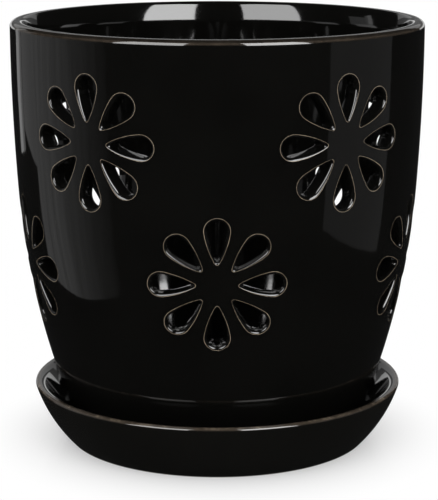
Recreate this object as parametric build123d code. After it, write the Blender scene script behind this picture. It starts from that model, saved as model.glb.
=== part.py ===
from build123d import *
import os
from math import asin, atan2, cos, degrees, hypot, pi, radians, sin, sqrt, tan

# Orchid pot with flower-shaped slots, standing loose in its saucer.
# Millimetres, +Z up, origin on the table at the centre of the saucer's foot, -Y is the front.

# Pot body
rim_diameter = 155.0
foot_diameter = 108.8
pot_height = 155.0
lip_land = 4.0            # upright stretch of the outer wall below the crest
shoulder_height = 93.0    # where the gentle upper curve meets the tighter lower one
shoulder_radius = 890.0   # radius of the upper curve of the wall
wall = 6.5
lip_thickness = 4.4
lip_outer_round = 1.9
lip_inner_round = 1.6
lip_ease_height = 8.5     # the inside leans out over this height below the crest
floor_thickness = 7.0
floor_fillet = 9.0

# Pot foot and drain
foot_ring_width = 9.0
foot_recess = 3.0
foot_round = 2.0
foot_edge_round = 1.0
drain_diameter = 16.0
drain_edge_round = 1.5
drain_notch_count = 3
drain_notch_width = 9.0
drain_notch_depth = 2.0

# Flower slots, two staggered rows of drop-shaped petals
flowers_per_row = 5
petals_per_flower = 8
petal_length = 17.0
petal_width = 9.5
petal_tip_round = 0.9
petal_side_radius = 34.0
petal_taper = 1.0         # how much each side of the hole draws in through the wall
flower_eye_radius = 7.5   # from the flower's centre to the petal tips
rim_to_flower = 12.5      # plain band between the crest and the upper flowers
row_pitch = 48.7          # height between the two rows
row_drop = 4.0            # how much lower the flowers sit at the back than at the front
upper_stretch = 1.06      # how much wider than tall the upper flowers are

# Saucer
saucer_height = 22.6
saucer_floor_height = 6.0
saucer_recess = 1.5
saucer_foot_width = 8.0
saucer_side_radius = 55.0
saucer_lip_width = 3.4
saucer_lip_outer_round = 1.1
saucer_lip_inner_round = 3.1
saucer_floor_fillet = 2.5
saucer_edge_round = 0.8
water_gap = 6.9           # free width between the pot and the saucer's lip
foot_clearance = 0.5      # room round the pot's foot on the saucer's floor
base_overhang = 3.0       # how far the saucer's base reaches past the pot's foot

# How far a cutter runs past the surface that it cuts, more for a petal because the wall curves away from it
cut_margin = 3.0
petal_margin = 5.0
# The most of a step's height that one rounded edge may take
round_share = 0.45

# Sizes that follow from the ones above
rim_radius = rim_diameter / 2
foot_radius = foot_diameter / 2
land_height = pot_height - lip_land
flower_radius = flower_eye_radius + petal_length
upper_row_height = pot_height - rim_to_flower - flower_radius
lower_row_height = upper_row_height - row_pitch
floor_height = foot_recess + floor_thickness
saucer_floor_radius = foot_radius + foot_clearance
saucer_base_radius = foot_radius + base_overhang


def curve_centres():
    """Centre and radius of the two tangent arcs of the outer wall, upper one first."""
    shoulder_lean = asin((land_height - shoulder_height) / shoulder_radius)
    upper_centre = (rim_radius - shoulder_radius, land_height)
    meet_r = upper_centre[0] + shoulder_radius * cos(shoulder_lean)
    reach_r = foot_radius - meet_r
    reach_z = -shoulder_height
    inward = -reach_r * cos(shoulder_lean) + reach_z * sin(shoulder_lean)
    body_radius = hypot(reach_r, reach_z) ** 2 / (2 * inward)
    body_centre = (meet_r - body_radius * cos(shoulder_lean), shoulder_height + body_radius * sin(shoulder_lean))
    return (upper_centre, shoulder_radius), (body_centre, body_radius)


upper_curve, lower_curve = curve_centres()


def wall_curve(height):
    return upper_curve if height >= shoulder_height else lower_curve


def wall_radius(height, depth=0.0):
    """Radius of the pot's wall at a height, at a depth below its outer face."""
    if height >= land_height:
        return rim_radius - depth
    centre, radius = wall_curve(height)
    return centre[0] + sqrt((radius - depth) ** 2 - (height - centre[1]) ** 2)


def wall_lean(height, depth):
    """Angle in radians by which the wall below the lip leans out, at a depth below its outer face."""
    centre, radius = wall_curve(height)
    return asin((centre[1] - height) / (radius - depth))


def wall_point(height, depth=0.0):
    return (wall_radius(height, depth), height)


def wall_arc(low, high, depth=0.0):
    """Stretch of the wall's section between two heights that lie on one of its curves."""
    return ThreePointArc(wall_point(low, depth), wall_point((low + high) / 2, depth), wall_point(high, depth))


def corner(profile, point):
    """The vertex of a section that lies at a given point."""
    return profile.vertices().sort_by_distance((point[0], point[1], 0))[0]


def rounded(profile, rounds):
    """Round the corners of a section, given as pairs of point and radius."""
    for point, radius in rounds:
        profile = fillet(corner(profile, point), radius)
    return profile


def pot_body():
    """The pot without its slots: one section turned about the upright axis."""
    drain_radius = drain_diameter / 2
    ring_inner = foot_radius - foot_ring_width
    ease_height = pot_height - lip_ease_height
    drain_low = (drain_radius, foot_recess)
    ring_high = (ring_inner, foot_recess)
    ring_low = (ring_inner, 0)
    foot_corner = (foot_radius, 0)
    crest_outer = (rim_radius, pot_height)
    crest_inner = (rim_radius - lip_thickness, pot_height)
    floor_corner = wall_point(floor_height, wall)
    drain_high = (drain_radius, floor_height)

    outer_lower = wall_arc(0, shoulder_height)
    outer_upper = wall_arc(shoulder_height, land_height)
    inner_lower = wall_arc(floor_height, shoulder_height, wall)
    inner_upper = wall_arc(shoulder_height, ease_height, wall)
    ease_lean = wall_lean(ease_height, wall)
    ease = TangentArc(wall_point(ease_height, wall), crest_inner, tangent=(sin(ease_lean), cos(ease_lean)))
    section = make_face(Curve() + [
        Line(drain_low, ring_high),
        Line(ring_high, ring_low),
        Line(ring_low, foot_corner),
        outer_lower,
        outer_upper,
        Line(wall_point(land_height), crest_outer),
        Line(crest_outer, crest_inner),
        ease,
        inner_upper,
        inner_lower,
        Line(floor_corner, drain_high),
        Line(drain_high, drain_low),
    ])
    ring_round = min(foot_edge_round, round_share * foot_recess)
    section = rounded(section, [
        (crest_outer, min(lip_outer_round, round_share * lip_thickness)),
        (crest_inner, min(lip_inner_round, round_share * lip_thickness)),
        (foot_corner, foot_round),
        (ring_low, ring_round),
        (ring_high, ring_round),
        (floor_corner, floor_fillet),
        (drain_high, drain_edge_round),
    ])
    body = revolve(Plane.XZ * section, Axis.Z)
    notch = Box(drain_notch_width, foot_ring_width + 2 * cut_margin, 2 * drain_notch_depth)
    notch = Pos(0, foot_ring_width / 2 - foot_radius, 0) * notch
    return body - [Rot(0, 0, turn * 360 / drain_notch_count) * notch for turn in range(drain_notch_count)]


def petal_outline(length, width):
    """Drop shape along +Y, its tip towards -Y and its middle at the origin."""
    side = petal_side_radius
    tip = petal_tip_round
    end = width / 2
    end_centre = length / 2 - end
    tip_centre = tip - length / 2
    span = end_centre - tip_centre
    # The side arc touches the round end and the tip from outside them, so its centre is this far from theirs
    to_end = side - end
    to_tip = side - tip
    along = (to_end ** 2 - to_tip ** 2 + span ** 2) / (2 * span)
    across = sqrt(to_end ** 2 - along ** 2)
    side_centre = Vector(-across, end_centre - along)
    end_touch = Vector(0, end_centre) + (Vector(0, end_centre) - side_centre).normalized() * end
    tip_touch = Vector(0, tip_centre) + (Vector(0, tip_centre) - side_centre).normalized() * tip
    side_middle = side_centre + ((end_touch + tip_touch) * 0.5 - side_centre).normalized() * side
    side_arc = ThreePointArc(tip_touch, side_middle, end_touch)
    return make_face(Curve() + [
        side_arc,
        ThreePointArc(end_touch, Vector(0, length / 2), Vector(-end_touch.X, end_touch.Y)),
        mirror(side_arc, Plane.YZ),
        ThreePointArc(tip_touch, Vector(0, -length / 2), Vector(-tip_touch.X, tip_touch.Y)),
    ])


def petal_tool(length, width, passage):
    """Cutter for one petal: +Z points out of the wall, whose outer face is at zero and inner face at -passage."""
    slope = petal_taper / passage
    gain = 2 * slope * petal_margin
    loss = 2 * slope * (passage + petal_margin)
    outside = Pos(0, 0, petal_margin) * petal_outline(length + gain, width + gain)
    inside = Pos(0, 0, -passage - petal_margin) * petal_outline(length - loss, width - loss)
    return loft([outside, inside], ruled=True)


def flower_tools(row_height, stretch):
    """The petal cutters of one flower on the front of the pot, all of them level and straight in."""
    reach = flower_eye_radius + petal_length / 2
    tools = []
    for index in range(petals_per_flower):
        turn = 2 * pi * index / petals_per_flower
        aside = stretch * sin(turn)
        upward = cos(turn)
        length = petal_length * hypot(aside, upward)
        width = petal_width * hypot(stretch * cos(turn), sin(turn))
        across = reach * aside
        height = row_height + reach * upward
        outer = sqrt(wall_radius(height) ** 2 - across ** 2)
        inner = sqrt(wall_radius(height, wall) ** 2 - across ** 2)
        on_wall = Plane(origin=(across, -outer, height), x_dir=(1, 0, 0), z_dir=(0, -1, 0))
        petal = petal_tool(length, width, outer - inner)
        tools.append(on_wall * Rot(0, 0, -degrees(atan2(aside, upward))) * petal)
    return tools


def row_tools(row_height, first_azimuth, stretch):
    """The petal cutters of one row of flowers, evenly spaced from the first one's azimuth in degrees."""
    tools = []
    for index in range(flowers_per_row):
        azimuth = first_azimuth + index * 360 / flowers_per_row
        drop = row_drop * (1 - cos(radians(azimuth))) / 2
        tools += [Rot(0, 0, azimuth) * tool for tool in flower_tools(row_height - drop, stretch)]
    return tools


def pot():
    lower = row_tools(lower_row_height, 0, 1)
    upper = row_tools(upper_row_height, 180 / flowers_per_row, upper_stretch)
    return Pos(0, 0, saucer_floor_height) * (pot_body() - (lower + upper))


def saucer():
    """Flared dish: one section turned about the upright axis, sloping inside from the lip to the pot's foot."""
    rim_level = saucer_height - saucer_floor_height
    lip_inner = wall_radius(rim_level) + water_gap
    lip_outer = lip_inner + saucer_lip_width
    axis_low = (0, saucer_recess)
    ring_high = (saucer_base_radius - saucer_foot_width, saucer_recess)
    ring_low = (saucer_base_radius - saucer_foot_width, 0)
    base_corner = (saucer_base_radius, 0)
    crest_outer = (lip_outer, saucer_height)
    crest_inner = (lip_inner, saucer_height)
    floor_corner = (saucer_floor_radius, saucer_floor_height)
    axis_high = (0, saucer_floor_height)
    section = make_face(Curve() + [
        Line(axis_low, ring_high),
        Line(ring_high, ring_low),
        Line(ring_low, base_corner),
        RadiusArc(base_corner, crest_outer, -saucer_side_radius),
        Line(crest_outer, crest_inner),
        Line(crest_inner, floor_corner),
        Line(floor_corner, axis_high),
        Line(axis_high, axis_low),
    ])
    slope = atan2(rim_level, lip_inner - saucer_floor_radius)
    outer_round = min(saucer_lip_outer_round, round_share * saucer_lip_width)
    inner_round = min(saucer_lip_inner_round, round_share * saucer_lip_width / tan(slope / 2))
    ring_round = min(saucer_edge_round, round_share * saucer_recess)
    section = rounded(section, [
        (crest_outer, outer_round),
        (crest_inner, inner_round),
        (floor_corner, saucer_floor_fillet),
        (base_corner, ring_round),
        (ring_low, ring_round),
        (ring_high, ring_round),
    ])
    return revolve(Plane.XZ * section, Axis.Z)


os.makedirs("parts", exist_ok=True)
export_step(pot(), "parts/pot.step")
export_step(saucer(), "parts/saucer.step")
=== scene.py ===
from math import asin, atan2, cos, hypot, pi, radians, sin, sqrt, tan

import bpy
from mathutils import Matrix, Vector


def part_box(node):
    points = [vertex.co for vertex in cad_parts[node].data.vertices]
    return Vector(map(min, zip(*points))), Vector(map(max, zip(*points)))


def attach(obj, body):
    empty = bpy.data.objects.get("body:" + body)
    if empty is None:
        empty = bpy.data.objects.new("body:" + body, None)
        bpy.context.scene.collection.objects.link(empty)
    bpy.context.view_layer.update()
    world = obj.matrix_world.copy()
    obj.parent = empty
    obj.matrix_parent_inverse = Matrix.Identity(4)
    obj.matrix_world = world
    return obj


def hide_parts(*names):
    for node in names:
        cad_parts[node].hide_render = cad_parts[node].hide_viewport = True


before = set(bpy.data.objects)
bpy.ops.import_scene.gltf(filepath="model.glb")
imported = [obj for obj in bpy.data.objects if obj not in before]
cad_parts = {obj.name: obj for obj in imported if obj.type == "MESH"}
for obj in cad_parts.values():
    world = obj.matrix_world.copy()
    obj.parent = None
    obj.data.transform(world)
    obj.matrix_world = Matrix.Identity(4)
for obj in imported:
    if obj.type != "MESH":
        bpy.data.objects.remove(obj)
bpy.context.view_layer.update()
mm = 0.001  # the pieces' dictionaries give lengths in millimetres, the studio's and the camera's in metres
mergeDistance = 0.001 * mm  # points closer than this are one point
print("frame loaded:", ", ".join(sorted(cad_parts)))


# helpers for turned pieces

def levels(low, high, count):
    return [low + (high - low) * i / count for i in range(count + 1)]


def arcPoints(centre, radius, start, end, count):
    return [(centre[0] + radius * cos(t), centre[1] + radius * sin(t)) for t in levels(start, end, count)]


def roundCentre(level, centre, reach):  # middle of a rounded edge that touches a level line and a curve
    return (centre[0] + sqrt(reach ** 2 - (level - centre[1]) ** 2), level)


def directionOf(start, end):
    return atan2(end[1] - start[1], end[0] - start[0])


def smoothStep(value, low, high):
    t = min(1.0, max(0.0, (value - low) / (high - low)))
    return t * t * (3 - 2 * t)


def deselectAll():
    if bpy.context.mode != "OBJECT":
        bpy.ops.object.mode_set(mode="OBJECT")
    bpy.ops.object.select_all(action="DESELECT")


def makeActive(piece):
    deselectAll()
    piece.select_set(True)
    bpy.context.view_layer.objects.active = piece


def applyModifier(piece, modifier):
    makeActive(piece)
    bpy.ops.object.modifier_apply(modifier=modifier.name)


def copyOf(piece):
    twin = piece.copy()
    twin.data = piece.data.copy()
    bpy.context.collection.objects.link(twin)
    return twin


def turnOnWheel(name, section, steps, lift, closed):  # draw the section point by point and spin it
    deselectAll()
    bpy.ops.mesh.primitive_plane_add(size=10 * mm)  # merged to the first point
    piece = bpy.context.object
    piece.name = name
    bpy.ops.object.mode_set(mode="EDIT")
    bpy.ops.mesh.merge(type="CENTER")
    bpy.ops.transform.translate(value=(section[0][0] * mm, 0, (section[0][1] + lift) * mm))
    for here, there in zip(section, section[1:]):
        step = ((there[0] - here[0]) * mm, 0, (there[1] - here[1]) * mm)
        bpy.ops.mesh.extrude_vertices_move(TRANSFORM_OT_translate={"value": step})
    if closed:  # join the last point of the section to its first
        bpy.ops.mesh.select_all(action="DESELECT")
        bpy.ops.object.mode_set(mode="OBJECT")
        piece.data.vertices[0].select = True
        piece.data.vertices[len(section) - 1].select = True
        bpy.ops.object.mode_set(mode="EDIT")
        bpy.ops.mesh.edge_face_add()
    bpy.ops.mesh.select_all(action="SELECT")
    bpy.ops.mesh.spin(steps=steps, angle=2 * pi, center=(0, 0, 0), axis=(0, 0, 1))
    bpy.ops.mesh.select_all(action="SELECT")
    bpy.ops.mesh.remove_doubles(threshold=mergeDistance)
    bpy.ops.mesh.normals_make_consistent(inside=False)
    bpy.ops.object.mode_set(mode="OBJECT")
    bpy.ops.object.shade_smooth()
    return piece


# the pot's wall

potLow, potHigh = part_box("pot")
potShape = {
    "rim": potHigh.x / mm,          # outer radius at the lip
    "foot": 54.4,                   # outer radius at the foot
    "height": (potHigh.z - potLow.z) / mm,
    "base": potLow.z / mm,          # the saucer's floor, which the pot stands on
    "land": 4.0,                    # upright stretch below the lip
    "shoulder": 93.0,               # height where the two curves of the wall meet
    "shoulderCurve": 890.0,
    "wall": 6.5,
    "lip": 4.4,
    "lipOuterRound": 1.9,
    "lipInnerRound": 1.6,
    "lipEase": 8.5,                 # the inside leans out over this height below the lip
    "floor": 10.0,
    "floorRound": 9.0,
    "recess": 3.0,
    "ringWidth": 9.0,
    "footRound": 2.0,
    "ringRound": 1.0,
    "drain": 8.0,                   # radius of the drain hole
    "drainRound": 1.5,
    "notches": 3,
    "notchWidth": 9.0,
    "notchDepth": 2.0,
    "notchOver": 6.0,               # how much longer the block that cuts a notch is than the ring is wide
    "steps": 240,                   # faces round the pot
    "parts": {                      # faces along each stretch of the section
        "footRound": 6, "wall": 60, "lipOuterRound": 9, "lipInnerRound": 8, "lipEase": 12, "inner": 44,
        "floorRound": 10, "floor": 5, "drainRound": 6, "drain": 3, "recess": 5, "ringRound": 5,
    },
}

landLevel = potShape["height"] - potShape["land"]
shoulderLean = asin((landLevel - potShape["shoulder"]) / potShape["shoulderCurve"])
upperCentre = (potShape["rim"] - potShape["shoulderCurve"], landLevel)
meetRadius = upperCentre[0] + potShape["shoulderCurve"] * cos(shoulderLean)
footReach = (potShape["foot"] - meetRadius, -potShape["shoulder"])
footInward = -footReach[0] * cos(shoulderLean) + footReach[1] * sin(shoulderLean)
bodyCurve = hypot(*footReach) ** 2 / (2 * footInward)
bodyCentre = (meetRadius - bodyCurve * cos(shoulderLean),
              potShape["shoulder"] + bodyCurve * sin(shoulderLean))


def wallCurve(level):
    if level >= potShape["shoulder"]:
        return upperCentre, potShape["shoulderCurve"]
    return bodyCentre, bodyCurve


def wallRadius(level, depth=0.0):
    if level >= landLevel:
        return potShape["rim"] - depth
    centre, radius = wallCurve(level)
    return centre[0] + sqrt((radius - depth) ** 2 - (level - centre[1]) ** 2)


def wallLean(level, depth=0.0):
    if level >= landLevel:
        return 0.0
    centre, radius = wallCurve(level)
    return asin((centre[1] - level) / (radius - depth))


def potSection():
    p, parts = potShape, potShape["parts"]
    top = p["height"]
    # up the outside
    footMiddle = roundCentre(p["footRound"], bodyCentre, bodyCurve - p["footRound"])
    footTurn = directionOf(bodyCentre, footMiddle)
    points = arcPoints(footMiddle, p["footRound"], -pi / 2, footTurn, parts["footRound"])
    wallStart = points[-1][1]
    points += [(wallRadius(z), z) for z in levels(wallStart, landLevel, parts["wall"])[1:]]
    # over the lip
    outerMiddle = (p["rim"] - p["lipOuterRound"], top - p["lipOuterRound"])
    points += arcPoints(outerMiddle, p["lipOuterRound"], 0, pi / 2, parts["lipOuterRound"])
    easeLevel = top - p["lipEase"]
    easeLean = wallLean(easeLevel, p["wall"])
    easeStart = (wallRadius(easeLevel, p["wall"]), easeLevel)
    setback = p["rim"] - p["lip"] - easeStart[0]
    easeInward = setback * cos(easeLean) - p["lipEase"] * sin(easeLean)
    easeCurve = hypot(setback, p["lipEase"]) ** 2 / (2 * easeInward)
    easeCentre = (easeStart[0] + easeCurve * cos(easeLean), easeLevel - easeCurve * sin(easeLean))
    innerLevel = top - p["lipInnerRound"]
    innerReach = sqrt((easeCurve - p["lipInnerRound"]) ** 2 - (innerLevel - easeCentre[1]) ** 2)
    innerMiddle = (easeCentre[0] - innerReach, innerLevel)
    innerTurn = directionOf(easeCentre, innerMiddle)
    points += arcPoints(innerMiddle, p["lipInnerRound"], pi / 2, innerTurn, parts["lipInnerRound"])
    points += arcPoints(easeCentre, easeCurve, innerTurn, pi - easeLean, parts["lipEase"])[1:]
    # down the inside to the drain hole
    floorLevel = p["floor"]
    innerBody = bodyCurve - p["wall"]
    floorMiddle = roundCentre(floorLevel + p["floorRound"], bodyCentre, innerBody - p["floorRound"])
    floorTurn = directionOf(bodyCentre, floorMiddle)
    wallEnd = bodyCentre[1] + innerBody * sin(floorTurn)
    points += [(wallRadius(z, p["wall"]), z) for z in levels(easeLevel, wallEnd, parts["inner"])[1:]]
    points += arcPoints(floorMiddle, p["floorRound"], floorTurn, -pi / 2, parts["floorRound"])[1:]
    drainMiddle = (p["drain"] + p["drainRound"], floorLevel - p["drainRound"])
    points += [(r, floorLevel) for r in levels(floorMiddle[0], drainMiddle[0], parts["floor"])[1:-1]]
    points += arcPoints(drainMiddle, p["drainRound"], pi / 2, pi, parts["drainRound"])
    points += [(p["drain"], z) for z in levels(drainMiddle[1], p["recess"], parts["drain"])[1:]]
    # along the underside to the foot ring
    ring, ringInner = p["ringRound"], p["foot"] - p["ringWidth"]
    points += [(r, p["recess"]) for r in levels(p["drain"], ringInner - ring, parts["recess"])[1:-1]]
    points += arcPoints((ringInner - ring, p["recess"] - ring), ring, pi / 2, 0, parts["ringRound"])
    points += arcPoints((ringInner + ring, ring), ring, pi, 1.5 * pi, parts["ringRound"])
    return points


pot = turnOnWheel("potBody", potSection(), potShape["steps"], potShape["base"], True)
bareShell = copyOf(pot)  # kept for its clean normals until the slots are cut
print("pot turned:", len(pot.data.polygons), "faces")


# the flower slots

petalShape = {
    "length": 17.0,
    "width": 9.5,
    "tipRound": 0.9,
    "sideCurve": 34.0,
    "taper": 0.1,         # how much each side of a hole draws in through the wall, behind the rounded edge
    "outerRound": 1.3,    # the glaze rounds the cut edges
    "innerRound": 1.0,
    "edgeOut": 0.12,      # how far the rounded edge reaches past the outline
    "flare": ((0.12, 0.6), (1.2, 0.9)),   # how far a cutter passes the wall, and how much it widens there
    "eye": 7.5,           # from the middle of a flower to its petal tips
    "rimToFlower": 12.5,
    "rowPitch": 48.7,
    "rowDrop": 4.0,       # how much lower the flowers sit at the back than at the front
    "upperStretch": 1.06,   # how much wider than tall the upper flowers are
    "flowers": 5,
    "petals": 8,
    "endParts": 14,       # faces along each stretch of the outline, and round each edge
    "sideParts": 10,
    "tipParts": 6,
    "outerParts": 6,
    "innerParts": 3,
}


def petalOutline(length, width):  # a drop: round end, two curved sides and a small round tip
    p = petalShape
    side, tip, end = p["sideCurve"], p["tipRound"], width / 2
    endMiddle = length / 2 - end
    tipMiddle = tip - length / 2
    span = endMiddle - tipMiddle
    along = ((side - end) ** 2 - (side - tip) ** 2 + span ** 2) / (2 * span)
    across = sqrt((side - end) ** 2 - along ** 2)
    sideMiddle = (-across, endMiddle - along)
    endTurn = atan2(along, across)
    tipTurn = atan2(tipMiddle - sideMiddle[1], across)
    rightSide = arcPoints(sideMiddle, side, tipTurn, endTurn, p["sideParts"])
    leftSide = [(-x, y) for x, y in reversed(rightSide)]
    outline = arcPoints((0, endMiddle), end, endTurn, pi - endTurn, p["endParts"])[:-1]
    outline += leftSide[:-1]
    outline += arcPoints((0, tipMiddle), tip, pi - tipTurn, 2 * pi + tipTurn, p["tipParts"])[:-1]
    return outline + rightSide[:-1]


def petalRings(length, width):  # depth below the outer face, and the outline at that depth
    p = petalShape
    wall, outer, inner = potShape["wall"], p["outerRound"], p["innerRound"]
    steps = [(-past, outer + wider) for past, wider in reversed(p["flare"])]
    for turn in levels(0, pi / 2, p["outerParts"])[1:]:
        steps.append((outer * (1 - cos(turn)), outer * (1 - sin(turn))))
    steps.append((wall / 2, 0.0))
    for turn in levels(pi / 2, 0, p["innerParts"])[:-1]:
        steps.append((wall - inner * (1 - cos(turn)), inner * (1 - sin(turn))))
    steps += [(wall + past, inner + wider) for past, wider in p["flare"]]
    rings = []
    for depth, grow in steps:
        gain = 2 * (grow - outer + p["edgeOut"] - p["taper"] * depth / wall)
        rings.append((depth, petalOutline(length + gain, width + gain)))
    return rings


def petalCutter(rings):  # a cylinder cut into rings, each pulled to the drop's outline at its depth
    sides = len(rings[0][1])
    last = len(rings) - 1
    deselectAll()
    bpy.ops.mesh.primitive_cylinder_add(vertices=sides, radius=1, depth=last, end_fill_type="NGON")
    cutter = bpy.context.object
    bpy.ops.object.mode_set(mode="EDIT")
    for k in range(1, last):
        bpy.ops.mesh.select_all(action="SELECT")
        bpy.ops.mesh.bisect(plane_co=(0, 0, k - last / 2), plane_no=(0, 0, 1))
    bpy.ops.object.mode_set(mode="OBJECT")
    for vertex in cutter.data.vertices:
        depth, outline = rings[round(last / 2 - vertex.co.z)]
        x, y = outline[round(atan2(vertex.co.y, vertex.co.x) / (2 * pi) * sides) % sides]
        vertex.co = (x, y, -depth)
    return cutter


def setInWall(mesh, rowLevel, flowerTurn, aside, upward):
    # put a cutter level and straight in, parallel to its flower's axis, as one petal of the flower
    reach = petalShape["eye"] + petalShape["length"] / 2
    slant = atan2(aside, upward)
    for vertex in mesh.vertices:
        x, y, out = vertex.co
        across = reach * aside + x * cos(slant) + y * sin(slant)
        level = rowLevel + reach * upward + y * cos(slant) - x * sin(slant)
        outer = sqrt(wallRadius(level) ** 2 - across ** 2)
        inner = sqrt(wallRadius(level, potShape["wall"]) ** 2 - across ** 2)
        away = outer + out / potShape["wall"] * (outer - inner)
        vertex.co = ((across * cos(flowerTurn) + away * sin(flowerTurn)) * mm,
                     (across * sin(flowerTurn) - away * cos(flowerTurn)) * mm,
                     (level + potShape["base"]) * mm)


def rowCutters(rowLevel, firstTurn, stretch):
    p = petalShape
    cutters = []
    for petal in range(p["petals"]):
        turn = 2 * pi * petal / p["petals"]
        aside, upward = stretch * sin(turn), cos(turn)
        length = p["length"] * hypot(aside, upward)
        width = p["width"] * hypot(stretch * cos(turn), sin(turn))
        master = petalCutter(petalRings(length, width))
        for flower in range(p["flowers"]):
            cutter = copyOf(master)
            flowerTurn = firstTurn + flower * 2 * pi / p["flowers"]
            drop = p["rowDrop"] * (1 - cos(flowerTurn)) / 2
            setInWall(cutter.data, rowLevel - drop, flowerTurn, aside, upward)
            cutters.append(cutter)
        bpy.data.objects.remove(master)
    return cutters


def notchCutter(turn):  # a block across the foot ring, for one of the drain notches under it
    p = potShape
    r = (p["foot"] - p["ringWidth"] / 2) * mm
    place = (r * sin(turn), -r * cos(turn), p["base"] * mm)
    size = (p["notchWidth"] * mm, (p["ringWidth"] + p["notchOver"]) * mm, 2 * p["notchDepth"] * mm)
    deselectAll()
    bpy.ops.mesh.primitive_cube_add(size=1, location=place, rotation=(0, 0, turn), scale=size)
    bpy.ops.object.transform_apply(location=True, rotation=True, scale=True)
    return bpy.context.object


def makeSlotTool():
    p = petalShape
    upperRow = potShape["height"] - p["rimToFlower"] - p["eye"] - p["length"]
    cutters = rowCutters(upperRow - p["rowPitch"], 0, 1)
    cutters += rowCutters(upperRow, pi / p["flowers"], p["upperStretch"])
    for notch in range(potShape["notches"]):
        cutters.append(notchCutter(notch * 2 * pi / potShape["notches"]))
    deselectAll()
    for cutter in cutters:
        cutter.select_set(True)
    bpy.context.view_layer.objects.active = cutters[0]
    bpy.ops.object.join()
    tool = bpy.context.object
    bpy.ops.object.mode_set(mode="EDIT")
    bpy.ops.mesh.select_all(action="SELECT")
    bpy.ops.mesh.normals_make_consistent(inside=False)
    bpy.ops.object.mode_set(mode="OBJECT")
    tool.data.materials.clear()
    tool.data.materials.append(shellMark)
    tool.data.materials.append(cutMark)
    for face in tool.data.polygons:
        face.material_index = 1
    return tool


def clearSlivers(piece):  # faces with points in a row would give triangles of no area
    makeActive(piece)
    bpy.ops.object.mode_set(mode="EDIT")
    bpy.ops.mesh.select_all(action="DESELECT")
    bpy.ops.mesh.select_face_by_sides(number=4, type="GREATER")
    bpy.ops.mesh.quads_convert_to_tris(quad_method="BEAUTY", ngon_method="BEAUTY")
    bpy.ops.mesh.select_all(action="SELECT")
    bpy.ops.mesh.dissolve_degenerate(threshold=mergeDistance)
    bpy.ops.object.mode_set(mode="OBJECT")


shellMark = bpy.data.materials.new("shellMark")  # these two tell the faces in the holes from the rest
cutMark = bpy.data.materials.new("cutMark")
pot.data.materials.append(shellMark)
slotTool = makeSlotTool()
slots = pot.modifiers.new("slots", "BOOLEAN")
slots.operation = "DIFFERENCE"
slots.solver = "EXACT"
slots.material_mode = "TRANSFER"
slots.object = slotTool
applyModifier(pot, slots)
clearSlivers(pot)
cutFaces = [False] * len(pot.data.polygons)
for face in pot.data.polygons:
    cutFaces[face.index] = pot.data.materials[face.material_index] == cutMark
    face.use_smooth = True
print("slots cut:", sum(cutFaces), "faces in the holes,", len(cutFaces), "in all")

# the uncut shell lends its normals, so that the gloss runs clean up to the slots
onShell = pot.vertex_groups.new(name="shell")
shellPoints = {index for face in pot.data.polygons if not cutFaces[face.index] for index in face.vertices}
onShell.add(sorted(shellPoints), 1.0, "REPLACE")
gloss = pot.modifiers.new("gloss", "DATA_TRANSFER")
gloss.object = bareShell
gloss.use_loop_data = True
gloss.data_types_loops = {"CUSTOM_NORMAL"}
gloss.loop_mapping = "POLYINTERP_NEAREST"
gloss.vertex_group = "shell"
applyModifier(pot, gloss)
for helper in (slotTool, bareShell):
    bpy.data.objects.remove(helper)
pot.vertex_groups.clear()
pot.data.materials.clear()


# the saucer

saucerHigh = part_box("saucer")[1]
saucerShape = {
    "height": saucerHigh.z / mm,
    "foot": 57.4,
    "floor": potShape["base"],
    "floorEdge": 54.9,    # where the sloping inside meets the floor
    "recess": 1.5,
    "ringWidth": 8.0,
    "sideCurve": 55.0,
    "lip": 3.4,
    "lipGap": 6.9,        # free width between the pot and the lip, before the lip is rounded
    "lipRound": 1.1,
    "lipInnerRound": 3.04,
    "floorRound": 2.5,
    "ringRound": 0.675,
    "steps": 288,         # faces round the saucer
    "parts": {            # faces along each stretch of the section
        "recess": 6, "ringRound": 4, "side": 24, "lipRound": 10, "lipInnerRound": 12, "slope": 10,
        "floorRound": 10, "floor": 6,
    },
}


def sideCentre(low, high, radius):  # middle of a side that bulges outwards between two points
    length = hypot(high[0] - low[0], high[1] - low[1])
    away = sqrt(radius ** 2 - length ** 2 / 4)
    return ((low[0] + high[0]) / 2 - away * (high[1] - low[1]) / length,
            (low[1] + high[1]) / 2 + away * (high[0] - low[0]) / length)


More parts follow.
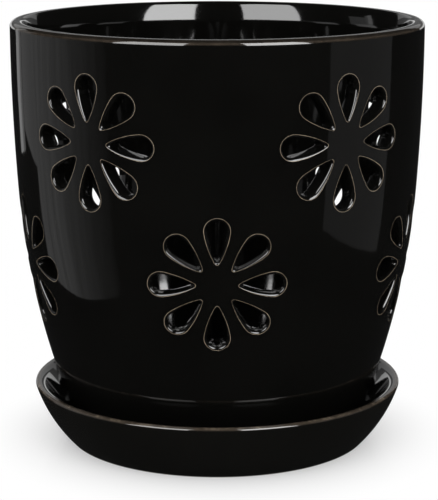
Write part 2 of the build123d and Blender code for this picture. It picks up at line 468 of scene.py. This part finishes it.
def saucerSection():
    s, parts = saucerShape, saucerShape["parts"]
    top = s["height"]
    lipInner = wallRadius(top - s["floor"]) + s["lipGap"]
    outer = sideCentre((s["foot"], 0), (lipInner + s["lip"], top), s["sideCurve"])
    slope = directionOf((s["floorEdge"], s["floor"]), (lipInner, top))
    # along the underside
    ring, ringInner = s["ringRound"], s["foot"] - s["ringWidth"]
    points = [(r, s["recess"]) for r in levels(0, ringInner - ring, parts["recess"])[:-1]]
    points += arcPoints((ringInner - ring, s["recess"] - ring), ring, pi / 2, 0, parts["ringRound"])
    points += arcPoints((ringInner + ring, ring), ring, pi, 1.5 * pi, parts["ringRound"])
    # up the outside
    baseMiddle = roundCentre(ring, outer, s["sideCurve"] - ring)
    baseTurn = directionOf(outer, baseMiddle)
    points += arcPoints(baseMiddle, ring, -pi / 2, baseTurn, parts["ringRound"])
    lipLevel = top - s["lipRound"]
    outerMiddle = roundCentre(lipLevel, outer, s["sideCurve"] - s["lipRound"])
    outerTurn = directionOf(outer, outerMiddle)
    points += arcPoints(outer, s["sideCurve"], baseTurn, outerTurn, parts["side"])[1:-1]
    # over the lip and down the inside
    points += arcPoints(outerMiddle, s["lipRound"], outerTurn, pi / 2, parts["lipRound"])
    innerRound, floorRound = s["lipInnerRound"], s["floorRound"]
    innerMiddle = (lipInner + innerRound * tan(slope / 2), top - innerRound)
    points += arcPoints(innerMiddle, innerRound, pi / 2, pi / 2 + slope, parts["lipInnerRound"])
    floorMiddle = (s["floorEdge"] - floorRound * tan(slope / 2), s["floor"] + floorRound)
    cove = arcPoints(floorMiddle, floorRound, slope - pi / 2, -pi / 2, parts["floorRound"])
    here, there = points[-1], cove[0]
    points += [(r, here[1] + (there[1] - here[1]) * (r - here[0]) / (there[0] - here[0]))
               for r in levels(here[0], there[0], parts["slope"])[1:-1]]
    points += cove
    points += [(r, s["floor"]) for r in levels(floorMiddle[0], 0, parts["floor"])[1:]]
    return points


saucer = turnOnWheel("saucerDish", saucerSection(), saucerShape["steps"], 0, False)
print("saucer turned:", len(saucer.data.polygons), "faces")


# where the glaze runs thin, and where the clay is bare

glazeShape = {
    "edgeDepth": 0.05,         # the tan line follows a cut edge to this depth
    "edgeFull": 0.2,           # it is at its full over this share of the depth
    "innerEdge": 0.15,         # how brown the edges are on the inside of the wall
    "potLip": 0.33,            # how brown the lips are
    "potLipTop": 0.4,          # share of that brown on top of the pot's lip
    "potLipRise": (0.3, 0.6),  # the brown grows to its full and then ends, in shares of the rounding's height
    "potLipEnd": (0.7, 1.0),
    "saucerLip": 0.42,
    "saucerLipEnd": (0.3, 1.1),
    "crestFade": 1.3,          # width over which the brown fades out, inwards from the saucer's crest
    "footBare": 0.05,          # glaze is wiped off the undersides of the foot rings, up to this height
    "footInner": 0.1,          # and this far inwards of the ring
}


def thinOnPot(point, cut):
    g = glazeShape
    level = point.z / mm - potShape["base"]
    radius = hypot(point.x, point.y) / mm
    if cut:
        if level < potShape["floor"]:
            return 0.0
        depth = (wallRadius(level) - radius) * cos(wallLean(level))
        outer = 1 - smoothStep(depth, g["edgeFull"] * g["edgeDepth"], g["edgeDepth"])
        inner = 1 - smoothStep(potShape["wall"] - depth, 0, g["edgeDepth"])
        return max(outer, g["innerEdge"] * inner)
    if radius < potShape["rim"] - potShape["lipOuterRound"]:
        return 0.0
    below = (potShape["height"] - level) / potShape["lipOuterRound"]
    rise = g["potLipTop"] + (1 - g["potLipTop"]) * smoothStep(below, *g["potLipRise"])
    return g["potLip"] * rise * (1 - smoothStep(below, *g["potLipEnd"]))


def thinOnSaucer(point, cut):  # nothing is cut in the saucer
    g = glazeShape
    crest = saucerHigh.x / mm - saucerShape["lipRound"]
    outward = smoothStep(hypot(point.x, point.y) / mm, crest - g["crestFade"], crest)
    below = (saucerShape["height"] - point.z / mm) / saucerShape["lipRound"]
    return g["saucerLip"] * outward * (1 - smoothStep(below, *g["saucerLipEnd"]))


def bareOn(point, footLevel, ringInner):
    if hypot(point.x, point.y) / mm < ringInner:
        return 0.0
    height = point.z / mm - footLevel
    return 1 - smoothStep(height, glazeShape["footBare"], 2 * glazeShape["footBare"])


def paintGlaze(piece, shape, footLevel, thin, cuts):
    mesh = piece.data
    ringInner = shape["foot"] - shape["ringWidth"] - glazeShape["footInner"]
    thinValues = [0.0] * len(mesh.loops)
    bareValues = [0.0] * len(mesh.loops)
    for face in mesh.polygons:
        cut = bool(cuts) and cuts[face.index]
        for corner in face.loop_indices:
            point = mesh.vertices[mesh.loops[corner].vertex_index].co
            thinValues[corner] = thin(point, cut)
            bareValues[corner] = bareOn(point, footLevel, ringInner)
    for layer, values in (("glazeThin", thinValues), ("bareClay", bareValues)):
        mesh.attributes.new(layer, "FLOAT", "CORNER")
        mesh.attributes[layer].data.foreach_set("value", values)


paintGlaze(pot, potShape, potShape["base"], thinOnPot, cutFaces)
paintGlaze(saucer, saucerShape, 0, thinOnSaucer, None)
print("thin glaze and bare clay marked")


# glaze

glazeLook = {
    "black": (0.0031, 0.0030, 0.0026),
    "blackDeep": (0.0024, 0.0023, 0.0020),
    "brown": (0.045, 0.035, 0.026, 1),
    "tan": (0.46, 0.375, 0.275, 1),
    "clay": (0.36, 0.28, 0.2, 1),
    "clayDark": (0.26, 0.195, 0.135, 1),
    "ior": 1.7,
    "rough": (0.035, 0.075),
    "thinRough": 0.03,         # how much rougher thin glaze is
    "clayRough": 0.8,
    "cloud": (38, 4, 0.55),    # pools of slightly deeper black, as the noise's scale, detail and roughness
    "grain": (900, 3, 0.6),    # fine specks in the thin glaze and the clay
    "patch": (160, 3, 0.6),    # how evenly the glaze breaks over an edge
    "wave": (55, 2, 0.4),      # the faint roll of a dipped glaze
    "peel": (420, 2, 0.5),     # its skin
    "crisp": (0.35, 0.65),     # the middle of a noise's range, narrow and wide
    "soft": (0.3, 0.7),
    "patchShare": (0.72, 1.18),
    "grainShare": (0.88, 1.1),
    "toBrown": (0.04, 0.4),    # how thin the glaze is where it turns brown, and then tan
    "toTan": (0.4, 0.95),
    "bumpHeight": 1.0,
    "bumpStrength": 0.05,
    "peelHeight": 0.06,        # heights of the skin and of the bare clay's grain, against the roll
    "clayHeight": 0.5,
}
full = (0, 1)  # from none to all


def addNode(tree, kind, **settings):
    node = tree.nodes.new(kind)
    for key, value in settings.items():
        setattr(node, key, value)
    return node


def noiseNode(tree, place, scale, detail, roughness):
    node = addNode(tree, "ShaderNodeTexNoise")
    node.inputs["Scale"].default_value = scale
    node.inputs["Detail"].default_value = detail
    node.inputs["Roughness"].default_value = roughness
    tree.links.new(place, node.inputs["Vector"])
    return node.outputs["Fac"]


def rangeNode(tree, value, fromRange, toRange):
    node = addNode(tree, "ShaderNodeMapRange")
    for name, number in zip(("From Min", "From Max", "To Min", "To Max"), (*fromRange, *toRange)):
        node.inputs[name].default_value = number
    tree.links.new(value, node.inputs["Value"])
    return node.outputs["Result"]


def fillSocket(tree, socket, value):
    if isinstance(value, (int, float, tuple)):
        socket.default_value = value
    else:
        tree.links.new(value, socket)


def mathNode(tree, operation, first, second):
    node = addNode(tree, "ShaderNodeMath", operation=operation)
    for socket, value in zip(node.inputs, (first, second)):
        fillSocket(tree, socket, value)
    return node.outputs["Value"]


def mixColours(tree, share, first, second):
    node = addNode(tree, "ShaderNodeMix", data_type="RGBA")
    tree.links.new(share, node.inputs["Factor"])
    sockets = [s for s in node.inputs if s.type == "RGBA"]
    for socket, colour in zip(sockets, (first, second)):
        fillSocket(tree, socket, colour)
    return [s for s in node.outputs if s.type == "RGBA"][0]


def mixShaders(tree, share, first, second):
    node = addNode(tree, "ShaderNodeMixShader")
    for socket, value in zip(node.inputs, (share, first, second)):
        tree.links.new(value, socket)
    return node.outputs["Shader"]


def blackGlaze(name, offset, paintedReflectionGain):
    look = glazeLook
    # the blacks are multiplied by this gain; above 1 it is a painted reflection of the floor in the glaze
    blacks = [tuple(paintedReflectionGain * part for part in look[key]) + (1,) for key in ("blackDeep", "black")]
    material = bpy.data.materials.new(name)
    material.use_nodes = True
    tree = material.node_tree
    shader = tree.nodes["Principled BSDF"]
    mapping = addNode(tree, "ShaderNodeMapping")
    mapping.inputs["Location"].default_value = offset
    tree.links.new(addNode(tree, "ShaderNodeTexCoord").outputs["Object"], mapping.inputs["Vector"])
    place = mapping.outputs["Vector"]
    thin = addNode(tree, "ShaderNodeAttribute", attribute_name="glazeThin").outputs["Fac"]
    bare = addNode(tree, "ShaderNodeAttribute", attribute_name="bareClay").outputs["Fac"]
    cloud, grain, patch, wave, peel = [
        noiseNode(tree, place, *look[key]) for key in ("cloud", "grain", "patch", "wave", "peel")]
    # black, breaking to brown and tan where it is thin, and bare clay
    black = mixColours(tree, rangeNode(tree, cloud, look["crisp"], full), *blacks)
    patches = rangeNode(tree, patch, look["soft"], look["patchShare"])
    specks = rangeNode(tree, grain, look["soft"], look["grainShare"])
    breaking = mathNode(tree, "MULTIPLY", thin, mathNode(tree, "MULTIPLY", patches, specks))
    glaze = mixColours(tree, rangeNode(tree, breaking, look["toBrown"], full), black, look["brown"])
    glaze = mixColours(tree, rangeNode(tree, breaking, look["toTan"], full), glaze, look["tan"])
    clay = mixColours(tree, rangeNode(tree, grain, look["crisp"], full), look["clayDark"], look["clay"])
    tree.links.new(mixColours(tree, bare, glaze, clay), shader.inputs["Base Color"])
    # gloss
    rough = rangeNode(tree, cloud, look["soft"], look["rough"])
    rough = mathNode(tree, "ADD", rough, mathNode(tree, "MULTIPLY", thin, look["thinRough"]))
    rough = mathNode(tree, "MAXIMUM", rough, mathNode(tree, "MULTIPLY", bare, look["clayRough"]))
    tree.links.new(rough, shader.inputs["Roughness"])
    shader.inputs["IOR"].default_value = look["ior"]
    # the roll and skin of the glaze, and the grain of the clay
    height = mathNode(tree, "ADD", wave, mathNode(tree, "MULTIPLY", peel, look["peelHeight"]))
    clayGrain = mathNode(tree, "MULTIPLY", bare, mathNode(tree, "MULTIPLY", grain, look["clayHeight"]))
    bump = addNode(tree, "ShaderNodeBump")
    bump.inputs["Strength"].default_value = look["bumpStrength"]
    bump.inputs["Distance"].default_value = look["bumpHeight"] * mm
    tree.links.new(mathNode(tree, "ADD", height, clayGrain), bump.inputs["Height"])
    tree.links.new(bump.outputs["Normal"], shader.inputs["Normal"])
    return material


pot.data.materials.append(blackGlaze("potGlaze", (0.0, 0.0, 0.0), 1.0))
saucer.data.materials.append(blackGlaze("saucerGlaze", (0.37, 0.21, 0.58), 1.7))  # lighter black: a painted reflection of the shaded floor under the saucer
print("glaze mixed")

for piece, body, slotName in ((pot, "pot", "pot_glaze"), (saucer, "saucer", "saucer_glaze")):
    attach(piece, body)
    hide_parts(body)


# studio

studio = {
    "floorColour": (0.84, 0.84, 0.84, 1),
    "floorRough": 0.12,
    "floorSize": 12,
    "floorNear": 0.03,       # the shadow on the floor is whole to this distance, and fades out to the next
    "floorFar": 0.095,
    "ambient": 0.75,         # level of the plain light from all round
    "dark": 0.012,           # level of the dark room that the glaze mirrors
    "roomRadius": 3.0,
    "roomParts": (48, 24),
    "velvetReach": 2.2,      # width of the dark cloth on the floor, in radii of the room
    "velvetLift": 0.0004,
    "boxDistance": 1.0,      # the soft boxes stand upright, so that their ends stay straight in the lip
    "boxBottom": 0.22,
    "boxHeight": 1.03,
    "fadeStart": 0.1,        # a cloth that fades starts at this share of its level
    "folds": (16, 1.2, 1),   # how closely such a cloth is folded across, down and through
    "foldNoise": (1, 3, 0.6),
    "foldRange": (0.3, 0.7),
    "foldShare": (0.72, 1.22),
}
softBoxes = {   # the glaze mirrors them brighter than they light
    "softBoxRight": {"azimuth": 32, "width": 0.62, "level": 7.4, "light": 3.0},
    "softBoxLeft": {"azimuth": -36.5, "width": 0.7, "level": 5.2, "light": 2.4},
}
mirrorCards = {   # seen in the glaze alone; a cloth fades up from its left end over a share of its width
    "cardRight": {"centre": (0.27, -0.077, 0.085), "turn": -90, "size": (0.212, 0.17), "level": 0.105},
    "cardLeft": {"centre": (-0.183, -0.031, 0.085), "turn": 113.8, "size": (0.2, 0.17), "level": 0.27,
                 "fade": 0.56},
    "cardFar": {"centre": (-0.2527, 0.1264, 0.155), "turn": 113.8, "size": (0.145, 0.17), "level": 0.24},
    "stripDim": {"centre": (-0.209, 0.128, 0.16), "turn": 42.3, "size": (0.0125, 0.17), "level": 0.3},
    "stripBright": {"centre": (-0.1963, 0.1387, 0.16), "turn": 37.5, "size": (0.021, 0.17), "level": 0.6},
    "backLow": {"centre": (0, 2.4, 0.17), "turn": 180, "size": (3.2, 0.34), "level": 0.9},
    "backMiddle": {"centre": (0, 2.4, 0.47), "turn": 180, "size": (3.2, 0.26), "level": 0.15},
    "backHigh": {"centre": (0, 2.4, 0.9), "turn": 180, "size": (3.2, 0.6), "level": 0.45},
}


def plainMaterial(name):
    material = bpy.data.materials.new(name)
    material.use_nodes = True
    tree = material.node_tree
    tree.nodes.clear()
    output = addNode(tree, "ShaderNodeOutputMaterial")
    return material, tree, output


def clothLevel(tree, level, fade):  # a hanging cloth, which fades up from one end and has folds
    coords = addNode(tree, "ShaderNodeTexCoord").outputs["Object"]
    along = addNode(tree, "ShaderNodeSeparateXYZ")
    tree.links.new(coords, along.inputs[0])
    rise = rangeNode(tree, along.outputs["X"], (-0.5, fade - 0.5), (studio["fadeStart"] * level, level))
    hang = addNode(tree, "ShaderNodeMapping")
    hang.inputs["Scale"].default_value = studio["folds"]
    tree.links.new(coords, hang.inputs["Vector"])
    folds = noiseNode(tree, hang.outputs["Vector"], *studio["foldNoise"])
    return mathNode(tree, "MULTIPLY", rise, rangeNode(tree, folds, studio["foldRange"], studio["foldShare"]))


def glowMaterial(name, level, fade=0, oneSided=False):
    material, tree, output = plainMaterial(name)
    glow = addNode(tree, "ShaderNodeEmission")
    glow.inputs["Strength"].default_value = level
    if fade:
        tree.links.new(clothLevel(tree, level, fade), glow.inputs["Strength"])
    surface = glow.outputs["Emission"]
    if oneSided:
        behind = addNode(tree, "ShaderNodeNewGeometry").outputs["Backfacing"]
        clear = addNode(tree, "ShaderNodeBsdfTransparent").outputs["BSDF"]
        surface = mixShaders(tree, behind, surface, clear)
    tree.links.new(surface, output.inputs["Surface"])
    return material


def seenRays(tree):  # what the camera sees, also in the glaze, as against what lights the object
    rays = addNode(tree, "ShaderNodeLightPath")
    seen = mathNode(tree, "MAXIMUM", rays.outputs["Is Camera Ray"], rays.outputs["Is Glossy Ray"])
    return mathNode(tree, "MAXIMUM", seen, rays.outputs["Is Transmission Ray"])


def makeFloor():
    deselectAll()
    bpy.ops.mesh.primitive_plane_add(size=studio["floorSize"])
    floor = bpy.context.object
    floor.name = "paleFloor"
    material, tree, output = plainMaterial("paleFloor")
    surface = addNode(tree, "ShaderNodeBsdfPrincipled")
    surface.inputs["Base Color"].default_value = studio["floorColour"]
    surface.inputs["Roughness"].default_value = studio["floorRough"]
    white = addNode(tree, "ShaderNodeEmission")
    distance = addNode(tree, "ShaderNodeVectorMath", operation="LENGTH")
    tree.links.new(addNode(tree, "ShaderNodeTexCoord").outputs["Object"], distance.inputs[0])
    fade = addNode(tree, "ShaderNodeMapRange", interpolation_type="SMOOTHSTEP")
    fade.inputs["From Min"].default_value = studio["floorNear"]
    fade.inputs["From Max"].default_value = studio["floorFar"]
    tree.links.new(distance.outputs["Value"], fade.inputs["Value"])
    share = mathNode(tree, "MULTIPLY", fade.outputs["Result"], seenRays(tree))
    mixed = mixShaders(tree, share, surface.outputs["BSDF"], white.outputs["Emission"])
    tree.links.new(mixed, output.inputs["Surface"])
    floor.data.materials.append(material)


def makeWorld():
    world = bpy.data.worlds.new("paleRoom")
    world.use_nodes = True
    bpy.context.scene.world = world
    tree = world.node_tree
    background = tree.nodes["Background"]
    background.inputs["Color"].default_value = (1, 1, 1, 1)
    level = rangeNode(tree, seenRays(tree), full, (studio["ambient"], 1.0))
    tree.links.new(level, background.inputs["Strength"])


def mirrorOnly(card, name, material):  # the glaze mirrors it, and it neither shows, lights nor shades
    card.name = name
    card.data.materials.append(material)
    card.visible_camera = False
    card.visible_diffuse = False
    card.visible_transmission = False
    card.visible_volume_scatter = False
    card.visible_shadow = False


def addCard(name, centre, turn, size, level, fade=0):
    deselectAll()
    bpy.ops.mesh.primitive_plane_add(size=1, location=centre, rotation=(pi / 2, 0, radians(turn)))
    card = bpy.context.object
    card.scale = (*size, 1)
    mirrorOnly(card, name, glowMaterial(name, level, fade))


def addSoftBox(name, azimuth, width, level, light):  # a lamp, and its front as the glaze mirrors it
    turn = radians(azimuth)
    distance, height = studio["boxDistance"], studio["boxHeight"]
    centre = (distance * sin(turn), -distance * cos(turn), studio["boxBottom"] + height / 2)
    lamp = bpy.data.lights.new(name, "AREA")
    lamp.shape = "RECTANGLE"
    lamp.size, lamp.size_y = width, height
    lamp.energy = light * pi * lamp.size * lamp.size_y
    holder = bpy.data.objects.new(name, lamp)
    holder.location = centre
    holder.rotation_euler = (pi / 2, 0, turn)
    holder.visible_glossy = False
    bpy.context.collection.objects.link(holder)
    addCard(name + "Front", centre, azimuth, (width, height), level)


def makeDarkRoom():
    dark, radius = studio["dark"], studio["roomRadius"]
    segments, rings = studio["roomParts"]
    deselectAll()
    bpy.ops.mesh.primitive_uv_sphere_add(segments=segments, ring_count=rings, radius=radius)
    mirrorOnly(bpy.context.object, "darkRoom", glowMaterial("darkRoom", dark))
    deselectAll()
    width, lift = studio["velvetReach"] * radius, studio["velvetLift"]
    bpy.ops.mesh.primitive_plane_add(size=width, location=(0, 0, lift))
    mirrorOnly(bpy.context.object, "darkVelvet", glowMaterial("darkVelvet", dark, oneSided=True))


makeFloor()
makeWorld()
for name, settings in softBoxes.items():
    addSoftBox(name, **settings)
for name, settings in mirrorCards.items():
    addCard(name, **settings)
makeDarkRoom()
print("studio set")


# camera

view = {
    "place": (0.00064, -0.7235, 0.2303),
    "pitch": 12.33,    # degrees below level
    "lens": 138.58,    # the lens and the sensor in millimetres
    "sensor": 36.0,
    "clip": (0.01, 50),
}
lens = bpy.data.cameras.new("camera")
lens.sensor_width = view["sensor"]
lens.lens = view["lens"]
lens.clip_start, lens.clip_end = view["clip"]
camera = bpy.data.objects.new("camera", lens)
camera.location = view["place"]
camera.rotation_euler = (radians(90 - view["pitch"]), 0, 0)
bpy.context.collection.objects.link(camera)
bpy.context.scene.camera = camera
bpy.context.scene.view_settings.view_transform = "Standard"

deselectAll()
